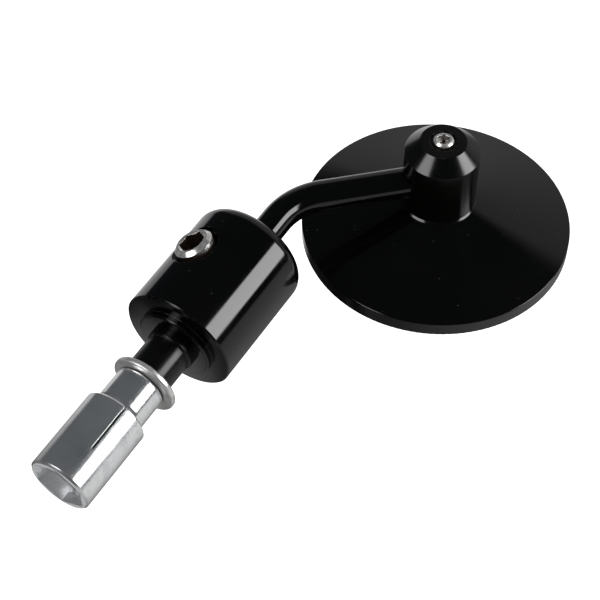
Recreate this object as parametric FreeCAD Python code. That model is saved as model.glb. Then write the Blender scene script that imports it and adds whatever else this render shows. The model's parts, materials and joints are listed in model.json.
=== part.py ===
import FreeCAD, Part
import math
import os

from FreeCAD import Placement, Rotation, Vector

# Bar-end mirror, built in millimetres.
# Origin: on the handlebar's axis, in the plane where the bar's end face seats.
# +X points outboard along the bar, +Z is up, and the mirror faces -Y, towards the rider.

# ---- weight that sits on the end of the bar
BOSS_D = 20.0
BOSS_H = 1.7
WEIGHT_D = 29.5
WEIGHT_L = 33.5
WEIGHT_EDGE_R = 4.0
WEIGHT_INNER_CHAMFER = 0.35
STUD_HOLE_DEPTH = 11.4

# ---- arm: round rod with one bend
ARM_D = 8.0
ARM_BORE_GAP = 0.05
ARM_START_X = 13.2
ARM_BORE_END_X = 12.8
ARM_CORNER_X = 52.5
ARM_BEND_DEG = 45.0
ARM_BEND_R = 18.0
ARM_REACH = 38.7
ARM_PAST_HUB_AXIS = 6.0
ARM_CHAMFER = 0.5

# ---- arm clamp screw, a socket set screw across the weight
CLAMP_X = 20.0
CLAMP_AZIMUTH_DEG = -31.5
CLAMP_D = 10.0
CLAMP_FACE_R = 15.8
CLAMP_CHAMFER = 0.9
CLAMP_HEX_AF = 6.0
CLAMP_HEX_DEPTH = 5.0
CLAMP_POINT_D = 7.0
CLAMP_MOUTH_START_R = 12.4
CLAMP_MOUTH_END_R = 13.6
CLAMP_MOUTH_WIDEN = 1.2
SOCKET_MOUTH = 0.1

# ---- head: hub on the arm, with a cone-backed disc below it
HEAD_TURN_DEG = -5.4
HUB_D = 19.4
HUB_TOP = 13.1
HUB_BASE = -6.9
HUB_TOP_CHAMFER = 3.7
HUB_BORE_PAST_AXIS = 6.6
SPIGOT_D = 12.0
SPIGOT_H = 5.0
HUB_SCREW_D = 5.2
HUB_SCREW_PROUD = 0.85
HUB_SCREW_CHAMFER = 0.5
HUB_SCREW_HEX_AF = 3.0
HUB_SCREW_HEX_DEPTH = 3.2
HUB_SCREW_POINT_D = 3.5
HUB_RECESS_D = 7.0
HUB_RECESS_DEPTH = 0.6

DISC_D = 71.0
DISC_BACK = -16.5
DISC_RIM_H = 4.05
COLLAR_D = 19.8
COLLAR_CHAMFER = 0.8
RIM_EDGE_R = 0.3
CASE_WALL = 2.6
CASE_WEB = 2.4
CASE_HOLLOW_D = 57.0
LEDGE_BEHIND_FRONT = 3.6
GLASS_RECESS_D = 67.8

FIX_D = 4.0
FIX_HEAD_D = 7.6
FIX_HEAD_H = 2.2
FIX_L = 10.0
FIX_HOLE_PAST_BASE = 1.5
FIX_POINT = 0.5
FIX_TOP_D = 4.2
FIX_SHOULDER_D = 6.8
FIX_SHOULDER_H = 1.3
FIX_HEX_AF = 2.5
FIX_HEX_DEPTH = 1.4

PAD_ID = 58.4
PAD_OD = 66.0
PAD_T = 0.8
SILVER_T = 0.1
GLASS_D = 66.2
GLASS_EDGE_T = 1.9
GLASS_FACE_R = 900.0
SEAL_GAP = 0.02
SEAL_DEPTH = 1.7
SEAL_BELOW_FRONT = 0.5

# ---- expander that grips the inside of the bar
SPACER_D = 11.5
SPACER_L = 11.4
SPACER_COLLAR_D = 12.4
SPACER_COLLAR_L = 2.1
SPACER_COLLAR_CHAMFER = 0.35
LOOSE_HOLE_D = 8.6
WASHER_D = 17.0
WASHER_HOLE_D = 9.0
WASHER_OFFSET_Z = 0.4
WASHER_T = 1.7
WASHER_EDGE_R = 0.6
CONE_D = 12.6
CONE_STRAIGHT_L = 8.4
CONE_TAPER_L = 5.6
TAPER_DEG = 12.0
SLEEVE_D = 16.2
SLEEVE_RIM_X = -22.9
SLEEVE_END_X = -44.9
SLEEVE_CHAMFER = 0.45
DRAW_GAP = 1.5
SEAT_L = 6.0
SLIT_W = 0.5
SLIT_L = 13.0
SLIT_AZIMUTH_DEG = 24.7
BOLT_D = 8.0
BOLT_L = 45.0
BOLT_HEAD_AF = 12.0
BOLT_HEAD_H = 5.3
BOLT_HEAD_TURN_DEG = 30.0
BOLT_HEAD_CROWN_H = 0.6
BOLT_HEAD_FACE_D = 11.6
BOLT_POINT = 1.0
HEX_GAP = 0.25
POCKET_RECESS = 4.2
WEB_T = 3.0
THREAD_GAP = 0.05

FULL_TURN = 360.0
HEX_SIDES = 6
OVERCUT = 1.0
SAME_EDGE = 1e-4

X_AXIS = Vector(1, 0, 0)
Y_AXIS = Vector(0, 1, 0)
ORIGIN = Vector(0, 0, 0)


def turned(profile):
    """Solid of revolution about X from (axial, radius) points; the outline closes itself."""
    points = [Vector(axial, radius, 0) for axial, radius in profile]
    outline = Part.makePolygon(points + [points[0]])
    return Part.Face(outline).revolve(ORIGIN, X_AXIS, FULL_TURN)


def rod(diameter, start, end):
    """Cylinder along X between two axial positions."""
    return Part.makeCylinder(diameter / 2, end - start, Vector(start, 0, 0), X_AXIS)


def hex_prism(across_flats, start, end):
    """Hexagonal prism along X between two axial positions, with a corner towards +Z."""
    corner = across_flats / math.sqrt(3)
    angles = [math.tau * i / HEX_SIDES for i in range(HEX_SIDES + 1)]
    ring = [Vector(start, corner * math.sin(a), corner * math.cos(a)) for a in angles]
    return Part.Face(Part.makePolygon(ring)).extrude(Vector(end - start, 0, 0))


def round_edges(shape, axial, radius):
    """Circular edges about X at one axial position and radius."""
    found = []
    for edge in shape.Edges:
        if not isinstance(edge.Curve, Part.Circle):
            continue
        same_radius = abs(edge.Curve.Radius - radius) < SAME_EDGE
        same_place = abs(edge.Curve.Center.x - axial) < SAME_EDGE
        if same_radius and same_place:
            found.append(edge)
    return found


def aimed(shape, direction, base=ORIGIN):
    """Turn a shape built along +X so it points along direction, then move it to base."""
    moved = shape.copy()
    moved.Placement = Placement(base, Rotation(X_AXIS, direction)).multiply(moved.Placement)
    return moved


def socket_screw(diameter, length, chamfer, point_d, hex_af, hex_depth):
    """Set screw from its point at 0 to its face at length, with a hex socket in the face."""
    r = diameter / 2
    body = turned(
        [
            (0, 0),
            (0, point_d / 2),
            (r - point_d / 2, r),
            (length - chamfer, r),
            (length, r - chamfer),
            (length, 0),
        ]
    )
    past = length + OVERCUT
    socket = hex_prism(hex_af, length - hex_depth, past)
    mouth_r = hex_af / math.sqrt(3) + SOCKET_MOUTH
    mouth = turned([(length - mouth_r / 2, 0), (length, mouth_r), (past, mouth_r), (past, 0)])
    return body.cut(socket).cut(mouth)


# ---- places worked out from the sizes above
bend = math.radians(ARM_BEND_DEG)
arm_out = Vector(math.cos(bend), 0, math.sin(bend))
bend_leg = ARM_BEND_R * math.tan(bend / 2)
corner = Vector(ARM_CORNER_X, 0, 0)
hub_centre = corner + arm_out * ARM_REACH
clamp_angle = math.radians(CLAMP_AZIMUTH_DEG)
clamp_out = Vector(0, math.cos(clamp_angle), math.sin(clamp_angle))
weight_end = BOSS_H + WEIGHT_L
disc_front = DISC_BACK - DISC_RIM_H
taper = math.tan(math.radians(TAPER_DEG))
washer_out = -SPACER_L
cone_top = washer_out - WASHER_T
cone_bend = cone_top - CONE_STRAIGHT_L
cone_tip = cone_bend - CONE_TAPER_L
pocket_floor = SLEEVE_END_X + POCKET_RECESS + BOLT_HEAD_H
web_top = pocket_floor + WEB_T


def bar_end_weight():
    """Turned weight with the seat boss, bored for the arm, the expander bolt and the screw."""
    body = rod(WEIGHT_D, BOSS_H, weight_end)
    body = body.makeFillet(WEIGHT_EDGE_R, round_edges(body, weight_end, WEIGHT_D / 2))
    body = body.makeChamfer(WEIGHT_INNER_CHAMFER, round_edges(body, BOSS_H, WEIGHT_D / 2))
    boss = rod(BOSS_D, 0, BOSS_H + OVERCUT)
    boss = boss.makeChamfer(WEIGHT_INNER_CHAMFER, round_edges(boss, 0, BOSS_D / 2))
    body = body.fuse(boss)
    body = body.cut(rod(ARM_D + 2 * ARM_BORE_GAP, ARM_BORE_END_X, weight_end + OVERCUT))
    body = body.cut(rod(BOLT_D + 2 * THREAD_GAP, -OVERCUT, STUD_HOLE_DEPTH))
    tapped = rod(CLAMP_D + 2 * THREAD_GAP, 0, WEIGHT_D)
    mouth = turned(
        [
            (CLAMP_MOUTH_START_R, 0),
            (CLAMP_MOUTH_START_R, CLAMP_D / 2 + THREAD_GAP),
            (CLAMP_MOUTH_END_R, CLAMP_D / 2 + CLAMP_MOUTH_WIDEN),
            (WEIGHT_D, CLAMP_D / 2 + CLAMP_MOUTH_WIDEN),
            (WEIGHT_D, 0),
        ]
    )
    body = body.cut(aimed(tapped.fuse(mouth), clamp_out, Vector(CLAMP_X, 0, 0)))
    return body.removeSplitter()


def arm_clamp_screw():
    """Set screw that bears on the arm inside the weight."""
    start = ARM_D / 2 + ARM_BORE_GAP
    screw = socket_screw(
        CLAMP_D,
        CLAMP_FACE_R - start,
        CLAMP_CHAMFER,
        CLAMP_POINT_D,
        CLAMP_HEX_AF,
        CLAMP_HEX_DEPTH,
    )
    return aimed(screw, clamp_out, Vector(CLAMP_X, 0, 0) + clamp_out * start)


def arm():
    """Bent rod: straight in the weight, one bend, straight into the hub."""
    bend_start = ARM_CORNER_X - bend_leg
    inner = rod(ARM_D, ARM_START_X, bend_start)
    inner = inner.makeChamfer(ARM_CHAMFER, round_edges(inner, ARM_START_X, ARM_D / 2))
    outer_l = ARM_REACH - bend_leg + ARM_PAST_HUB_AXIS
    outer = rod(ARM_D, 0, outer_l)
    outer = outer.makeChamfer(ARM_CHAMFER, round_edges(outer, outer_l, ARM_D / 2))
    outer = aimed(outer, arm_out, corner + arm_out * bend_leg)
    section = Part.Face(Part.Wire(Part.makeCircle(ARM_D / 2, Vector(bend_start, 0, 0), X_AXIS)))
    pivot = Vector(bend_start, 0, ARM_BEND_R)
    elbow = section.revolve(pivot, Vector(0, -1, 0), ARM_BEND_DEG)
    return inner.fuse(elbow).fuse(outer).removeSplitter()


def spacer():
    """Black tube between the seat boss and the washer, with a small collar at the boss."""
    hole_r = LOOSE_HOLE_D / 2
    collar_in = -SPACER_COLLAR_L
    return turned(
        [
            (washer_out, hole_r),
            (washer_out, SPACER_D / 2),
            (collar_in, SPACER_D / 2),
            (collar_in, SPACER_COLLAR_D / 2 - SPACER_COLLAR_CHAMFER),
            (collar_in + SPACER_COLLAR_CHAMFER, SPACER_COLLAR_D / 2),
            (0, SPACER_COLLAR_D / 2),
            (0, hole_r),
        ]
    )


def washer():
    """Flat washer with worn, rounded edges, a loose fit that sits off the bolt's axis."""
    hole = rod(WASHER_HOLE_D, cone_top - OVERCUT, washer_out + OVERCUT)
    ring = rod(WASHER_D, cone_top, washer_out).cut(hole)
    edges = round_edges(ring, cone_top, WASHER_D / 2) + round_edges(ring, washer_out, WASHER_D / 2)
    ring = ring.makeFillet(WASHER_EDGE_R, edges)
    ring.translate(Vector(0, 0, WASHER_OFFSET_Z))
    return ring


def expander_cone():
    """Narrow sleeve whose tapered end wedges the slit sleeve open."""
    hole_r = LOOSE_HOLE_D / 2
    r = CONE_D / 2
    return turned(
        [
            (cone_tip, hole_r),
            (cone_tip, r - CONE_TAPER_L * taper),
            (cone_bend, r),
            (cone_top - SLEEVE_CHAMFER, r),
            (cone_top, r - SLEEVE_CHAMFER),
            (cone_top, hole_r),
        ]
    )


def expander_sleeve():
    """Slit sleeve: tapered bore for the cone, hex pocket for the bolt head."""
    r = SLEEVE_D / 2
    seat_x = cone_bend - DRAW_GAP
    mouth_r = CONE_D / 2 + (SLEEVE_RIM_X - seat_x) * taper
    seat_end = SLEEVE_RIM_X - SEAT_L
    seat_end_r = mouth_r - SEAT_L * taper
    body = turned(
        [
            (SLEEVE_END_X, 0),
            (SLEEVE_END_X, r - SLEEVE_CHAMFER),
            (SLEEVE_END_X + SLEEVE_CHAMFER, r),
            (SLEEVE_RIM_X - SLEEVE_CHAMFER, r),
            (SLEEVE_RIM_X, r - SLEEVE_CHAMFER),
            (SLEEVE_RIM_X, mouth_r),
            (seat_end, seat_end_r),
            (web_top, seat_end_r),
            (web_top, 0),
        ]
    )
    body = body.cut(rod(LOOSE_HOLE_D, SLEEVE_END_X - OVERCUT, SLEEVE_RIM_X + OVERCUT))
    pocket = hex_prism(BOLT_HEAD_AF + 2 * HEX_GAP, SLEEVE_END_X - OVERCUT, pocket_floor)
    pocket.rotate(ORIGIN, X_AXIS, BOLT_HEAD_TURN_DEG)
    body = body.cut(pocket)
    slit = Part.makeBox(SLIT_L + OVERCUT, SLEEVE_D + 2 * OVERCUT, SLIT_W)
    slit.translate(Vector(SLEEVE_RIM_X - SLIT_L, -SLEEVE_D / 2 - OVERCUT, -SLIT_W / 2))
    slit.rotate(ORIGIN, X_AXIS, SLIT_AZIMUTH_DEG)
    return body.cut(slit)


def expander_bolt():
    """Hex-head bolt through the sleeve, cone, washer and spacer into the weight."""
    head_face = pocket_floor - BOLT_HEAD_H
    head = hex_prism(BOLT_HEAD_AF, head_face, pocket_floor)
    head.rotate(ORIGIN, X_AXIS, BOLT_HEAD_TURN_DEG)
    r = BOLT_D / 2
    tip = pocket_floor + BOLT_L
    shank = turned(
        [
            (pocket_floor - OVERCUT, 0),
            (pocket_floor - OVERCUT, r),
            (tip - BOLT_POINT, r),
            (tip, r - BOLT_POINT),
            (tip, 0),
        ]
    )
    crown_r = BOLT_HEAD_AF / math.sqrt(3)
    crown = turned(
        [
            (head_face, 0),
            (head_face, BOLT_HEAD_FACE_D / 2),
            (head_face + BOLT_HEAD_CROWN_H, crown_r),
            (pocket_floor, crown_r),
            (pocket_floor, 0),
        ]
    )
    return head.common(crown).fuse(shank)


# The head's pieces are built along +X about the hub's own axis, with the arm's axis at 0,
# then aimed along +Y at the hub centre and turned on the arm.
def on_head(shape):
    """Place a piece of the head: its +X becomes the hub's axis."""
    placed = aimed(shape, Y_AXIS, hub_centre)
    placed.rotate(hub_centre, arm_out, HEAD_TURN_DEG)
    return placed


def hub():
    """Hub with a wide top chamfer, a blind cross bore for the arm and a spigot below."""
    r = HUB_D / 2
    body = turned(
        [
            (HUB_BASE - SPIGOT_H, 0),
            (HUB_BASE - SPIGOT_H, SPIGOT_D / 2),
            (HUB_BASE, SPIGOT_D / 2),
            (HUB_BASE, r),
            (HUB_TOP - HUB_TOP_CHAMFER, r),
            (HUB_TOP, r - HUB_TOP_CHAMFER),
            (HUB_TOP, 0),
        ]
    )
    body = body.cut(rod(HUB_SCREW_D + 2 * THREAD_GAP, 0, HUB_TOP + OVERCUT))
    body = body.cut(rod(HUB_RECESS_D, HUB_TOP - HUB_RECESS_DEPTH, HUB_TOP + OVERCUT))
    fixing_start = HUB_BASE - SPIGOT_H - OVERCUT
    body = body.cut(rod(FIX_D, fixing_start, HUB_BASE + FIX_HOLE_PAST_BASE))
    placed = on_head(body)
    bore = rod(ARM_D + 2 * ARM_BORE_GAP, -HUB_D, HUB_BORE_PAST_AXIS)
    return placed.cut(aimed(bore, arm_out, hub_centre)).removeSplitter()


def hub_clamp_screw():
    """Set screw in the hub's top that bears on the arm."""
    start = ARM_D / 2 + ARM_BORE_GAP
    screw = socket_screw(
        HUB_SCREW_D,
        HUB_TOP + HUB_SCREW_PROUD - start,
        HUB_SCREW_CHAMFER,
        HUB_SCREW_POINT_D,
        HUB_SCREW_HEX_AF,
        HUB_SCREW_HEX_DEPTH,
    )
    screw.translate(Vector(start, 0, 0))
    return on_head(screw)


def mirror_case():
    """Cone-backed disc, hollow behind the glass, with a socket for the hub's spigot."""
    r = DISC_D / 2
    collar_r = COLLAR_D / 2
    ledge = disc_front + LEDGE_BEHIND_FRONT
    slope = (DISC_BACK - (HUB_BASE - COLLAR_CHAMFER)) / (r - collar_r)
    hollow_r = CASE_HOLLOW_D / 2
    floor = HUB_BASE - SPIGOT_H - CASE_WEB
    cone_at = HUB_BASE - COLLAR_CHAMFER - slope * collar_r
    inner_r = (floor + CASE_WALL - cone_at) / slope
    body = turned(
        [
            (HUB_BASE, SPIGOT_D / 2 + THREAD_GAP),
            (HUB_BASE, collar_r - COLLAR_CHAMFER),
            (HUB_BASE - COLLAR_CHAMFER, collar_r),
            (DISC_BACK, r),
            (disc_front, r),
            (disc_front, GLASS_RECESS_D / 2),
            (ledge, GLASS_RECESS_D / 2),
            (ledge, hollow_r),
            (cone_at + slope * hollow_r - CASE_WALL, hollow_r),
            (floor, inner_r),
            (floor, FIX_D / 2 + THREAD_GAP),
            (HUB_BASE - SPIGOT_H, FIX_D / 2 + THREAD_GAP),
            (HUB_BASE - SPIGOT_H, SPIGOT_D / 2 + THREAD_GAP),
        ]
    )
    rim = round_edges(body, DISC_BACK, r) + round_edges(body, disc_front, r)
    return on_head(body.makeFillet(RIM_EDGE_R, rim))


def hub_fixing_screw():
    """Button-head screw inside the case, into the hub's spigot."""
    floor = HUB_BASE - SPIGOT_H - CASE_WEB
    top = floor - FIX_HEAD_H
    r = FIX_D / 2
    body = turned(
        [
            (top, 0),
            (top, FIX_TOP_D / 2),
            (floor - FIX_SHOULDER_H, FIX_SHOULDER_D / 2),
            (floor, FIX_HEAD_D / 2),
            (floor, r),
            (floor + FIX_L - FIX_POINT, r),
            (floor + FIX_L, r - FIX_POINT),
            (floor + FIX_L, 0),
        ]
    )
    socket = hex_prism(FIX_HEX_AF, top - OVERCUT, top + FIX_HEX_DEPTH)
    return on_head(body.cut(socket))


def glass_stack():
    """Axial positions of the pad, the silvering and the glass, back to front."""
    ledge = disc_front + LEDGE_BEHIND_FRONT
    pad_front = ledge - PAD_T
    silver_front = pad_front - SILVER_T
    return ledge, pad_front, silver_front


def glass_pad():
    """Adhesive foam ring between the case's ledge and the mirror."""
    ledge, pad_front, _ = glass_stack()
    ring = rod(PAD_OD, pad_front, ledge)
    return on_head(ring.cut(rod(PAD_ID, pad_front - OVERCUT, ledge + OVERCUT)))


def mirror_silvering():
    """Reflective layer and its protective coat on the back of the glass."""
    _, pad_front, silver_front = glass_stack()
    return on_head(rod(GLASS_D, silver_front, pad_front))


def mirror_glass():
    """Convex glass: flat back, domed front."""
    _, _, back = glass_stack()
    edge = back - GLASS_EDGE_T
    r = GLASS_D / 2
    rise = GLASS_FACE_R - math.sqrt(GLASS_FACE_R**2 - r**2)
    mid_r = r / 2
    mid_rise = rise - (GLASS_FACE_R - math.sqrt(GLASS_FACE_R**2 - mid_r**2))
    face = Part.Arc(
        Vector(edge, r, 0), Vector(edge - mid_rise, mid_r, 0), Vector(edge - rise, 0, 0)
    )
    sides = Part.makePolygon(
        [Vector(edge - rise, 0, 0), Vector(back, 0, 0), Vector(back, r, 0), Vector(edge, r, 0)]
    )
    outline = Part.Wire([face.toShape()] + sides.Edges)
    return on_head(Part.Face(outline).revolve(ORIGIN, X_AXIS, FULL_TURN))


def glass_seal():
    """Black sealing ring between the glass and the case's rim."""
    inner = GLASS_D + 2 * SEAL_GAP
    outer = GLASS_RECESS_D - 2 * SEAL_GAP
    front = disc_front + SEAL_BELOW_FRONT
    ring = rod(outer, front, front + SEAL_DEPTH)
    return on_head(ring.cut(rod(inner, front - OVERCUT, front + SEAL_DEPTH + OVERCUT)))


PIECES = {
    "bar_end_weight": bar_end_weight,
    "arm_clamp_screw": arm_clamp_screw,
    "arm": arm,
    "hub": hub,
    "hub_clamp_screw": hub_clamp_screw,
    "hub_fixing_screw": hub_fixing_screw,
    "mirror_case": mirror_case,
    "glass_pad": glass_pad,
    "mirror_silvering": mirror_silvering,
    "mirror_glass": mirror_glass,
    "glass_seal": glass_seal,
    "spacer": spacer,
    "washer": washer,
    "expander_cone": expander_cone,
    "expander_sleeve": expander_sleeve,
    "expander_bolt": expander_bolt,
}

os.makedirs("parts", exist_ok=True)
for node, build in PIECES.items():
    build().exportStep(f"parts/{node}.step")
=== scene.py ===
import json
import math

import bpy
from mathutils import Matrix, Vector

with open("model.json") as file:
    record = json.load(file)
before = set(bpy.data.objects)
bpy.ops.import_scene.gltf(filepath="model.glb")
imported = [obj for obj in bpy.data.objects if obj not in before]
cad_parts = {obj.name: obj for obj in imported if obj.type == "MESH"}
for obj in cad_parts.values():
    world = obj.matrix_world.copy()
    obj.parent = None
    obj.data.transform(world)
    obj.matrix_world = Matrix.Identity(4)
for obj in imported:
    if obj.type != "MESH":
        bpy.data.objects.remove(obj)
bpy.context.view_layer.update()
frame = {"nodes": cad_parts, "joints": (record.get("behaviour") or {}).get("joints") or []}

NODES = frame["nodes"]

# ---- lengths, in metres
MM = 0.001
MICRON = 0.001 * MM

# ---- axes of the turned pieces
JOINTS = {joint["name"]: joint for joint in frame["joints"]}
BAR_ORIGIN = Vector((0, 0, 0))
BAR_AXIS = Vector((1, 0, 0))
HUB_ORIGIN = Vector(JOINTS["head_swivel"]["pos_m"])
HUB_AXIS = Vector(JOINTS["hub_screw_turn"]["axis"]).normalized()
CLAMP_ORIGIN = Vector(JOINTS["arm_screw_turn"]["pos_m"])
CLAMP_AXIS = Vector(JOINTS["arm_screw_turn"]["axis"]).normalized()
ARM_AXIS = Vector(JOINTS["head_swivel"]["axis"]).normalized()

# ---- middle of the sphere that the glass is a slice of
GLASS_BULGE_R = 0.9
GLASS_BELOW_HUB = 0.02
GLASS_BULGE_CENTRE = HUB_ORIGIN + HUB_AXIS * (GLASS_BULGE_R - GLASS_BELOW_HUB)

# ---- camera
CAMERA_AT = Vector((-0.165525, 0.339015, 0.132544))
CAMERA_BACK = Vector((-0.475533, 0.833418, 0.281571))
CAMERA_UP = Vector((0.692814, 0.552052, -0.463948))
CAMERA_LENS = 100
CAMERA_SENSOR = 36
CLIP_START = 0.01
CLIP_END = 300

# ---- colours of the finishes
BLACK = (0.0004, 0.0004, 0.0003, 1)
BLACK_SMUDGED = (0.0011, 0.0011, 0.0009, 1)
BLACK_RUBBED = (0.22, 0.22, 0.23, 1)
BLACK_DUSTY = (0.16, 0.155, 0.15, 1)
BARE = ((0.90, 0.905, 0.91, 1), (0.66, 0.68, 0.70, 1))
STEEL = ((0.72, 0.72, 0.71, 1), (0.34, 0.33, 0.32, 1))
METAL_SCRATCHED = (0.94, 0.95, 0.96, 1)
METAL_DENTED = (0.30, 0.27, 0.25, 1)
METAL_RUBBED = (0.96, 0.96, 0.97, 1)
# colour of the painted shade inside narrow slots and grooves
METAL_SHADED_IN_SLOT = (0.015, 0.014, 0.013, 1)
PLATING = (0.84, 0.83, 0.81, 1)
PLATING_DULL = (0.42, 0.41, 0.40, 1)
PLATING_FLECKED = (0.08, 0.07, 0.06, 1)
PLATING_RUBBED = (0.92, 0.92, 0.93, 1)
# colour of the painted shade inside the screws' sockets
PLATING_SHADED_IN_SOCKET = (0.085, 0.060, 0.048, 1)
GLASS_TINT = (0.975, 0.990, 0.985, 1)
GLASS_DUSTY = (0.75, 0.75, 0.74, 1)
SILVER = (0.93, 0.945, 0.94, 1)
SILVER_HAZY = (0.89, 0.91, 0.905, 1)

# ---- studio
TENT_RADIUS = 0.7
TENT_CENTRE = Vector((0.03, 0.0, 0.015))
FLOOR_Z = -0.8
FLOOR_HALF = 90.0
FLOOR_COLOUR = (0.9, 0.9, 0.9, 1)
FLOOR_GRAIN = (0.93, 0.93, 0.93, 1)
FLOOR_GLOW = 0.75
WORLD_COLOUR = (1, 1, 1, 1)
WORLD_LIGHT = 0.85
KEY_AT = Vector((0.2, 0.35, 0.6))
KEY_SIZE = 0.6
KEY_WATTS = 4

# ---- what the tent shows: directions from its middle, and brightness
DARK_SIDE = (0.034, 0.040, 0.046, 1)
NO_LIGHT = (0, 0, 0, 1)
WALL = (0.40, 0.40, 0.404, 1)
STRIP_LIGHT = 9.3
STRIP_RISE_DEG = (43.5, 47.0)
STRIP_FALL_DEG = (78.0, 73.5)
SIDE_BOX_LIGHT = 6.0
SIDE_BOX_DIRECTION = (-0.655, 0.640, -0.400)
SIDE_BOX_DEG = (19, 12)
POCKET_BOX_LIGHT = 2.2
POCKET_BOX_DIRECTION = (-0.42, 0.835, -0.355)
POCKET_BOX_DEG = (11, 7)
END_BOX_LIGHT = 0.75
END_BOX_DIRECTION = (-0.388, -0.853, -0.350)
END_BOX_DEG = (4.8, 2.0)


class Graph:
    """A few short calls for building a node tree."""

    def __init__(self, tree):
        self.tree = tree
        tree.nodes.clear()

    def add(self, kind, inputs=None, **settings):
        node = self.tree.nodes.new(kind)
        for name, value in settings.items():
            setattr(node, name, value)
        for key, value in (inputs or {}).items():
            self.put(node.inputs[key], value)
        return node

    def put(self, socket, value):
        if isinstance(value, bpy.types.NodeSocket):
            self.tree.links.new(value, socket)
        else:
            socket.default_value = value

    def math(self, operation, *values):
        inputs = dict(enumerate(values))
        return self.add("ShaderNodeMath", inputs, operation=operation).outputs[0]

    def times(self, a, b):
        return self.math("MULTIPLY", a, b)

    def plus(self, a, b):
        return self.math("ADD", a, b)

    def vector(self, operation, a, b=None, output="Vector"):
        inputs = {0: a} if b is None else {0: a, 1: b}
        return self.add("ShaderNodeVectorMath", inputs, operation=operation).outputs[output]

    def ramp(self, value, low, high, start=0.0, end=1.0):
        """value from low..high to start..end, smoothly and clamped."""
        inputs = {"Value": value, 1: low, 2: high, 3: start, 4: end}
        kind = "SMOOTHSTEP"
        return self.add("ShaderNodeMapRange", inputs, interpolation_type=kind).outputs[0]

    def mix(self, factor, a, b):
        """Blend of two colours."""
        node = self.add("ShaderNodeMix", data_type="RGBA")
        self.put(node.inputs["Factor"], factor)
        self.put(node.inputs[6], a)
        self.put(node.inputs[7], b)
        return node.outputs[2]

    def grey(self, value):
        channels = {0: value, 1: value, 2: value}
        return self.add("ShaderNodeCombineColor", channels).outputs[0]

    def noise(self, scale, vector=None, detail=3.0, w=None):
        """Uneven 0..1 pattern in space, or along a single value w."""
        node = self.add("ShaderNodeTexNoise")
        node.inputs["Scale"].default_value = scale
        node.inputs["Detail"].default_value = detail
        if w is not None:
            node.noise_dimensions = "1D"
            self.put(node.inputs["W"], w)
        if vector is not None:
            self.put(node.inputs["Vector"], vector)
        return node.outputs["Fac"]

    def place(self):
        """The shaded point in the piece's own coordinates, in metres."""
        return self.add("ShaderNodeTexCoord").outputs["Object"]

    def turned(self, origin, axis):
        """(height along the axis, distance from it) at the shaded point, in metres."""
        local = self.vector("SUBTRACT", self.place(), tuple(origin))
        height = self.vector("DOT_PRODUCT", local, tuple(axis), "Value")
        along = self.add("ShaderNodeVectorMath", {0: tuple(axis)}, operation="SCALE")
        self.put(along.inputs["Scale"], height)
        across = self.vector("SUBTRACT", local, along.outputs[0])
        return height, self.vector("LENGTH", across, output="Value")

    def cavity(self, distance):
        """1 in the open, falling towards 0 inside holes and slots."""
        node = self.add("ShaderNodeAmbientOcclusion", samples=8)
        node.inputs["Distance"].default_value = distance
        return node.outputs["AO"]

    def bump(self, height, distance, strength=1.0, normal=None):
        """Normal tilted by a height pattern whose full height is distance."""
        node = self.add("ShaderNodeBump", {"Height": height})
        node.inputs["Strength"].default_value = strength
        node.inputs["Distance"].default_value = distance
        if normal is not None:
            self.put(node.inputs["Normal"], normal)
        return node.outputs[0]

    def spot(self, local, direction, degrees, light=1.0):
        """Round light in a direction; degrees are where it starts and where it is full."""
        facing = self.vector("DOT_PRODUCT", local, direction, "Value")
        start, full = degrees
        return self.ramp(facing, cosine(start), cosine(full), 0.0, light)

    def soft_edges(self, radius):
        """(rounded normal, wear mask that is 1 on the edges)"""
        bevel = self.add("ShaderNodeBevel", samples=6)
        bevel.inputs["Radius"].default_value = radius
        plain = self.add("ShaderNodeNewGeometry").outputs["Normal"]
        turn = self.vector("DOT_PRODUCT", bevel.outputs[0], plain, "Value")
        return bevel.outputs[0], self.ramp(turn, low=0.97, high=0.80)


def cosine(degrees):
    return math.cos(math.radians(degrees))


def new_material(name):
    material = bpy.data.materials.new(name)
    material.use_nodes = True
    return material, Graph(material.node_tree)


def surface(graph, **inputs):
    """Principled surface; keyword names stand for its sockets, with _ for a space."""
    shader = graph.add("ShaderNodeBsdfPrincipled")
    for name, value in inputs.items():
        graph.put(shader.inputs[name.replace("_", " ")], value)
    output = graph.add("ShaderNodeOutputMaterial")
    graph.tree.links.new(shader.outputs[0], output.inputs["Surface"])
    return shader


def speckle(graph, scale, size, density):
    """Sparse fine specks, 1 on a speck."""
    cells = graph.add("ShaderNodeTexVoronoi", {"Vector": graph.place()})
    cells.inputs["Scale"].default_value = scale
    near = graph.ramp(cells.outputs["Distance"], low=size, high=size * 0.4)
    chosen = graph.add("ShaderNodeSeparateColor", {"Color": cells.outputs["Color"]}).outputs[0]
    return graph.times(near, graph.math("GREATER_THAN", chosen, 1 - density))


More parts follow.
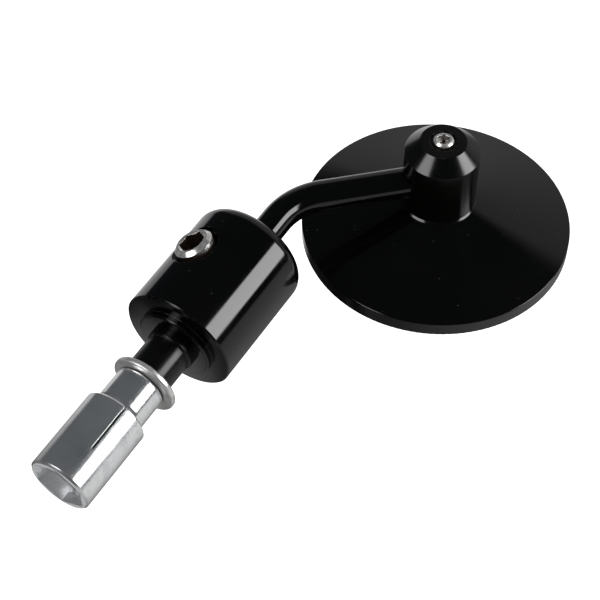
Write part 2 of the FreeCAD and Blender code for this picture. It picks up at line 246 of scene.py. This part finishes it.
def black_anodised(name, origin, axis, roughness=0.07, line_depth=4 * MICRON, gloss=1.45):
    """Gloss black anodised aluminium with faint turning lines, dust and rubbed edges."""
    rubbed_shows = 0.5
    rubbed_roughness = 0.12
    dust_shows = 0.35
    fine_lines = 0.5
    material, g = new_material(name)
    height, radius = g.turned(origin, axis)
    track = g.plus(height, radius)
    lines = g.noise(scale=5200, w=track, detail=2.0)
    waves = g.noise(scale=420, w=track, detail=1.0)
    smudge = g.noise(scale=60, vector=g.place(), detail=5.0)
    rub = g.noise(scale=900, vector=g.place(), detail=4.0)
    rounded, edge = g.soft_edges(0.22 * MM)
    wear = g.times(edge, g.ramp(rub, low=0.45, high=0.75))
    dust = speckle(g, scale=900, size=0.13, density=0.035)
    colour = g.mix(smudge, BLACK, BLACK_SMUDGED)
    colour = g.mix(g.times(wear, rubbed_shows), colour, BLACK_RUBBED)
    colour = g.mix(g.times(dust, dust_shows), colour, BLACK_DUSTY)
    rough = g.ramp(smudge, low=0.30, high=0.75, start=roughness * 0.75, end=roughness * 1.5)
    rough = g.plus(rough, g.times(wear, rubbed_roughness))
    ridges = g.plus(g.times(lines, fine_lines), waves)
    normal = g.bump(ridges, line_depth, strength=0.35, normal=rounded)
    surface(g, Base_Color=colour, Roughness=rough, IOR=gloss, Normal=normal)
    return material


def turned_metal(name, origin, axis, tones, roughness, depth=12 * MICRON, metallic=0.96):
    """Bare turned metal: tool lines, grain, dull patches, small dents and bright edges, with
    painted shade in slots and grooves.
    """
    grime_shows = 0.62
    grain_shows = 0.38
    scratch_shows = 0.3
    scratch_roughness = 0.06
    dent_shows = 0.45
    rubbed_shows = 0.35
    slot_shade_shows = 0.85
    pocket_metallic = 0.70
    fine_lines = 0.6
    grain_height = 0.07
    dent_depth = 1.5
    material, g = new_material(name)
    clean, dull = tones
    height, radius = g.turned(origin, axis)
    track = g.plus(height, radius)
    lines = g.noise(scale=6400, w=track, detail=3.0)
    bands = g.noise(scale=420, w=track, detail=2.0)
    grain = g.noise(scale=3800, vector=g.place(), detail=3.0)
    smudge = g.noise(scale=330, vector=g.place(), detail=6.0)
    blotch = g.noise(scale=75, vector=g.place(), detail=3.0)
    stretch = g.add("ShaderNodeMapping", {"Vector": g.place()})
    stretch.inputs["Rotation"].default_value = (0.3, 0.2, 0.5)
    stretch.inputs["Scale"].default_value = (300, 2600, 2600)
    streaks = g.noise(scale=1.0, vector=stretch.outputs[0], detail=3.0)
    scratch = g.ramp(streaks, low=0.66, high=0.76)
    dents = speckle(g, scale=420, size=0.16, density=0.05)
    rounded, edge = g.soft_edges(0.18 * MM)
    grime = g.times(g.ramp(smudge, low=0.42, high=0.72), grime_shows)
    speck = g.times(g.ramp(grain, low=0.38, high=0.66), grain_shows)
    colour = g.mix(g.math("MAXIMUM", grime, speck), clean, dull)
    colour = g.mix(g.times(scratch, scratch_shows), colour, METAL_SCRATCHED)
    colour = g.mix(g.times(dents, dent_shows), colour, METAL_DENTED)
    colour = g.mix(g.times(edge, rubbed_shows), colour, METAL_RUBBED)
    # painted shade: narrow slots and grooves are darkened towards near-black, standing in for the
    # shadow inside them
    painted_slot_shade = g.ramp(g.cavity(1.5 * MM), low=0.62, high=0.25, start=0.0, end=slot_shade_shows)
    colour = g.mix(painted_slot_shade, colour, METAL_SHADED_IN_SLOT)
    rough = g.ramp(blotch, low=0.30, high=0.72, start=roughness * 0.85, end=roughness * 1.25)
    rough = g.plus(rough, g.times(scratch, scratch_roughness))
    relief = g.plus(g.times(lines, fine_lines), bands)
    relief = g.plus(relief, g.times(grain, grain_height))
    relief = g.math("SUBTRACT", relief, g.times(dents, dent_depth))
    normal = g.bump(relief, depth, strength=0.5, normal=rounded)
    metal = g.ramp(g.cavity(6 * MM), low=0.35, high=0.75, start=pocket_metallic, end=metallic)
    surface(g, Base_Color=colour, Metallic=metal, Roughness=rough, Normal=normal)
    return material


def plated(name, origin, axis, roughness, socket_reach):
    """Bright plated steel with faint machining rings, dark flecks and painted shade in the socket.
    """
    fleck_shows = 0.5
    rubbed_shows = 0.5
    ring_height = 0.3
    mottle_height = 4.0
    material, g = new_material(name)
    height, radius = g.turned(origin, axis)
    rings = g.noise(scale=5000, w=g.plus(height, radius), detail=3.0)
    mottle = g.noise(scale=520, vector=g.place(), detail=5.0)
    rounded, edge = g.soft_edges(0.15 * MM)
    flecks = speckle(g, scale=1500, size=0.22, density=0.10)
    colour = g.mix(g.ramp(mottle, low=0.35, high=0.75), PLATING, PLATING_DULL)
    colour = g.mix(g.times(flecks, fleck_shows), colour, PLATING_FLECKED)
    colour = g.mix(g.times(edge, rubbed_shows), colour, PLATING_RUBBED)
    # painted shade: the socket is darkened where it is enclosed, standing in for the shadow inside
    # it
    painted_socket_shade = g.ramp(g.cavity(socket_reach), low=0.86, high=0.62)
    colour = g.mix(painted_socket_shade, colour, PLATING_SHADED_IN_SOCKET)
    rough = g.ramp(mottle, low=0.30, high=0.80, start=roughness * 0.7, end=roughness * 1.7)
    relief = g.plus(g.times(rings, ring_height), g.times(mottle, mottle_height))
    normal = g.bump(relief, 30 * MICRON, strength=0.5, normal=rounded)
    surface(g, Base_Color=colour, Metallic=0.88, Roughness=rough, Normal=normal)
    return material


def soft_black(name, roughness, pore_scale, depth, tones):
    """Rubber or foam: matte, pored and uneven."""
    material, g = new_material(name)
    pores = g.noise(pore_scale, vector=g.place(), detail=6.0)
    tone = g.noise(scale=120, vector=g.place(), detail=2.0)
    low, high = tones
    colour = g.mix(tone, (low, low, low, 1), (high, high, high, 1))
    roughest = min(1.0, roughness * 1.3)
    rough = g.ramp(pores, low=0.3, high=0.7, start=roughness, end=roughest)
    normal = g.bump(pores, depth, strength=0.6)
    surface(g, Base_Color=colour, Roughness=rough, Normal=normal)
    return material


def clear_glass():
    """Polished glass with the faintest ripple and a few specks of dust."""
    material, g = new_material("clear_glass")
    ripple = g.noise(scale=35, vector=g.place(), detail=1.0)
    dust = speckle(g, scale=500, size=0.10, density=0.03)
    tint = g.mix(dust, GLASS_TINT, GLASS_DUSTY)
    rough = g.ramp(dust, low=0.0, high=1.0, start=0.0, end=0.25)
    normal = g.bump(ripple, 2 * MICRON, strength=0.1)
    shader = surface(g, Base_Color=tint, Roughness=rough, Normal=normal)
    shader.inputs["Transmission Weight"].default_value = 1.0
    # low, so that the facets of the glass hardly bend the silver's reflection
    shader.inputs["IOR"].default_value = 1.06
    return material


def silvering():
    """Silver layer behind the glass, shaded as the true sphere and not as its facets."""
    material, g = new_material("silvering")
    haze = g.noise(scale=90, vector=g.place(), detail=4.0)
    colour = g.mix(haze, SILVER, SILVER_HAZY)
    rough = g.ramp(haze, low=0.3, high=0.8, start=0.005, end=0.02)
    outwards = g.vector("SUBTRACT", g.place(), tuple(GLASS_BULGE_CENTRE))
    turn = {"vector_type": "NORMAL", "convert_from": "OBJECT", "convert_to": "WORLD"}
    facing = g.add("ShaderNodeVectorTransform", {"Vector": outwards}, **turn).outputs[0]
    normal = g.vector("NORMALIZE", facing)
    surface(g, Base_Color=colour, Metallic=1.0, Roughness=rough, Normal=normal)
    return material


def dress():
    """Give every CAD piece its own finish, keeping its shape."""
    bar = (BAR_ORIGIN, BAR_AXIS)
    hub = (HUB_ORIGIN, HUB_AXIS)
    arm = (HUB_ORIGIN, ARM_AXIS)
    clamp = (CLAMP_ORIGIN, CLAMP_AXIS)
    finishes = {
        "bar_end_weight": black_anodised("anodised_weight", *bar),
        "spacer": black_anodised(
            "anodised_spacer", *bar, roughness=0.25, line_depth=6 * MICRON, gloss=1.36
        ),
        "arm": black_anodised("anodised_arm", *arm, roughness=0.08, line_depth=1.5 * MICRON),
        "hub": black_anodised("anodised_hub", *hub, roughness=0.13),
        "mirror_case": black_anodised(
            "anodised_case", *hub, roughness=0.10, line_depth=3 * MICRON
        ),
        "expander_sleeve": turned_metal("turned_sleeve", *bar, BARE, roughness=0.20),
        "expander_cone": turned_metal("turned_cone", *bar, BARE, roughness=0.17),
        "washer": turned_metal(
            "washer_steel", *bar, STEEL, roughness=0.33, depth=40 * MICRON, metallic=0.87
        ),
        "expander_bolt": turned_metal("bolt_steel", *bar, BARE, roughness=0.22),
        "hub_fixing_screw": turned_metal("fixing_steel", *hub, STEEL, roughness=0.30),
        "arm_clamp_screw": plated("clamp_plating", *clamp, roughness=0.20, socket_reach=8 * MM),
        "hub_clamp_screw": plated("hub_plating", *hub, roughness=0.24, socket_reach=1.2 * MM),
        "glass_pad": soft_black(
            "foam", roughness=0.85, pore_scale=2600, depth=80 * MICRON, tones=(0.02, 0.05)
        ),
        "glass_seal": soft_black(
            "seal_rubber", roughness=0.42, pore_scale=1500, depth=20 * MICRON, tones=(0.006, 0.014)
        ),
        "mirror_glass": clear_glass(),
        "mirror_silvering": silvering(),
    }
    for node, material in finishes.items():
        mesh = NODES[node].data
        mesh.materials.clear()
        mesh.materials.append(material)


def tent_room(g, local):
    """The tent's walls: dark in front, a pale wall at the +X end and a graded back."""
    x, y, z = g.add("ShaderNodeSeparateXYZ", {0: local}).outputs
    wall_spread_below = 0.12
    back_slope = 0.07
    back_y = 0.07

    # the pale wall reaches a little further round below
    below = g.ramp(z, low=-0.3, high=-0.8)
    reach = g.plus(x, g.times(below, wall_spread_below))
    wall = g.ramp(reach, low=0.66, high=0.80)
    front = g.mix(wall, DARK_SIDE, g.mix(wall, NO_LIGHT, WALL))

    # the back is pale above, dark just below the middle and bright at its foot
    upper = g.ramp(z, low=-0.1, high=0.90, start=0.17, end=0.62)
    dip = g.ramp(z, low=-0.18, high=-0.34, start=1.0, end=0.12)
    foot = g.ramp(z, low=-0.80, high=-0.62, start=6.0, end=1.0)
    lower = g.ramp(z, low=0.0, high=-0.45, start=0.0, end=0.8)
    lower = g.times(lower, g.ramp(x, low=0.14, high=0.46))
    rear = g.plus(g.times(upper, g.times(dip, foot)), lower)
    rear = g.plus(rear, g.spot(local, END_BOX_DIRECTION, END_BOX_DEG, END_BOX_LIGHT))

    lean = g.math("SUBTRACT", g.times(z, back_slope), g.plus(y, back_y))
    return g.mix(g.ramp(lean, low=-0.05, high=0.06), front, g.grey(rear))


def tent_boxes(g, local):
    """The lights in the tent: a long strip overhead and two round boxes."""
    x, y, z = g.add("ShaderNodeSeparateXYZ", {0: local}).outputs
    angle = g.math("ARCTAN2", z, y)
    rise = g.ramp(angle, *[math.radians(degrees) for degrees in STRIP_RISE_DEG])
    fall = g.ramp(angle, *[math.radians(degrees) for degrees in STRIP_FALL_DEG])
    near = g.ramp(x, low=0.68, high=0.57)
    far = g.ramp(x, low=0.14, high=0.25)
    strip = g.times(g.times(rise, fall), g.times(near, far))
    glow = g.times(strip, STRIP_LIGHT)
    glow = g.plus(glow, g.spot(local, POCKET_BOX_DIRECTION, POCKET_BOX_DEG, POCKET_BOX_LIGHT))
    glow = g.plus(glow, g.spot(local, SIDE_BOX_DIRECTION, SIDE_BOX_DEG, SIDE_BOX_LIGHT))
    return g.grey(glow)


def tent_light(g):
    """What the studio tent shows in each direction."""
    local = g.vector("NORMALIZE", g.place())
    return g.vector("ADD", tent_room(g, local), tent_boxes(g, local))


def pale_floor():
    """Plain pale floor, well below the object, so that its shadow is too soft to see."""
    bpy.ops.mesh.primitive_plane_add(size=2 * FLOOR_HALF, location=(0, 0, FLOOR_Z))
    floor = bpy.context.object
    floor.name = "floor"
    material, g = new_material("pale_floor")
    grain = g.noise(scale=3.0, vector=g.place(), detail=4.0)
    tone = g.mix(grain, FLOOR_COLOUR, FLOOR_GRAIN)
    surface(g, Base_Color=tone, Roughness=0.9, Emission_Color=tone, Emission_Strength=FLOOR_GLOW)
    floor.data.materials.append(material)
    return floor


def light_tent():
    """Sphere seen only in reflections and through glass, painted with the studio's light."""
    bpy.ops.mesh.primitive_uv_sphere_add(
        segments=96, ring_count=48, radius=TENT_RADIUS, location=TENT_CENTRE
    )
    tent = bpy.context.object
    tent.name = "tent"
    material, g = new_material("tent_light")
    glow = g.add("ShaderNodeEmission", {"Color": tent_light(g)})
    output = g.add("ShaderNodeOutputMaterial")
    g.tree.links.new(glow.outputs[0], output.inputs["Surface"])
    tent.data.materials.append(material)
    tent.visible_camera = False
    tent.visible_diffuse = False
    tent.visible_shadow = False
    return tent


def even_sky():
    """Even light from all round for the matte surfaces."""
    world = bpy.data.worlds.new("studio_world")
    world.use_nodes = True
    bpy.context.scene.world = world
    g = Graph(world.node_tree)
    sky = g.add("ShaderNodeBackground", {"Color": WORLD_COLOUR, "Strength": WORLD_LIGHT})
    output = g.add("ShaderNodeOutputWorld")
    g.tree.links.new(sky.outputs[0], output.inputs["Surface"])


def key_light():
    """Large soft lamp above the object, aimed at it."""
    lamp = bpy.data.lights.new("key", "AREA")
    lamp.shape = "DISK"
    lamp.size = KEY_SIZE
    lamp.energy = KEY_WATTS
    key = bpy.data.objects.new("key", lamp)
    key.location = KEY_AT
    key.rotation_mode = "QUATERNION"
    key.rotation_quaternion = (-KEY_AT).to_track_quat("-Z", "Y")
    key.visible_glossy = False
    bpy.context.scene.collection.objects.link(key)


def camera():
    """The camera, rolled as the object hangs in the picture."""
    lens = bpy.data.cameras.new("camera")
    lens.lens = CAMERA_LENS
    lens.sensor_width = CAMERA_SENSOR
    lens.clip_start = CLIP_START
    lens.clip_end = CLIP_END
    eye = bpy.data.objects.new("camera", lens)
    right = CAMERA_UP.cross(CAMERA_BACK)
    turn = Matrix((right, CAMERA_UP, CAMERA_BACK)).transposed()
    eye.matrix_world = Matrix.Translation(CAMERA_AT) @ turn.to_4x4()
    bpy.context.scene.collection.objects.link(eye)
    bpy.context.scene.camera = eye


dress()
pale_floor()
light_tent()
even_sky()
key_light()
camera()
bpy.context.scene.view_settings.view_transform = "Standard"
